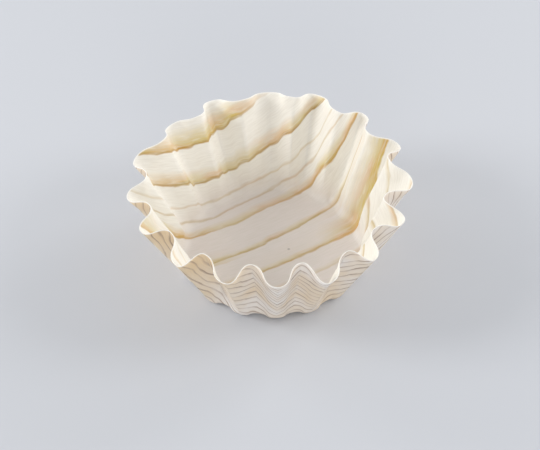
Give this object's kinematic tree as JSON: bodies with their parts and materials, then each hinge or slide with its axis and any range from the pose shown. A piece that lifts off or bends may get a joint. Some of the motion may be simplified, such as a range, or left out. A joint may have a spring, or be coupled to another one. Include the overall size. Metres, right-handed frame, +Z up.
{
  "type": "fluted paper food cup",
  "caption": "Low, wide paper cup pressed from one disc, with a round flat floor, a soft heel and an uneven fluted wall, printed with wood grain.",
  "frame": {"origin": "centre of the cup's box, on the underside of its floor, where it stands", "axes": "+Z up out of the cup's mouth, -Y towards the front, where the flutes are deepest, +X to the right"},
  "size_m": [0.192, 0.185, 0.0699],
  "materials": {
    "printed_paper": "matte paper with a faint film sheen, printed with wood grain on both faces"
  },
  "bodies": {
    "root": {"fluted_cup": "printed_paper"}
  },
  "joints": []
}
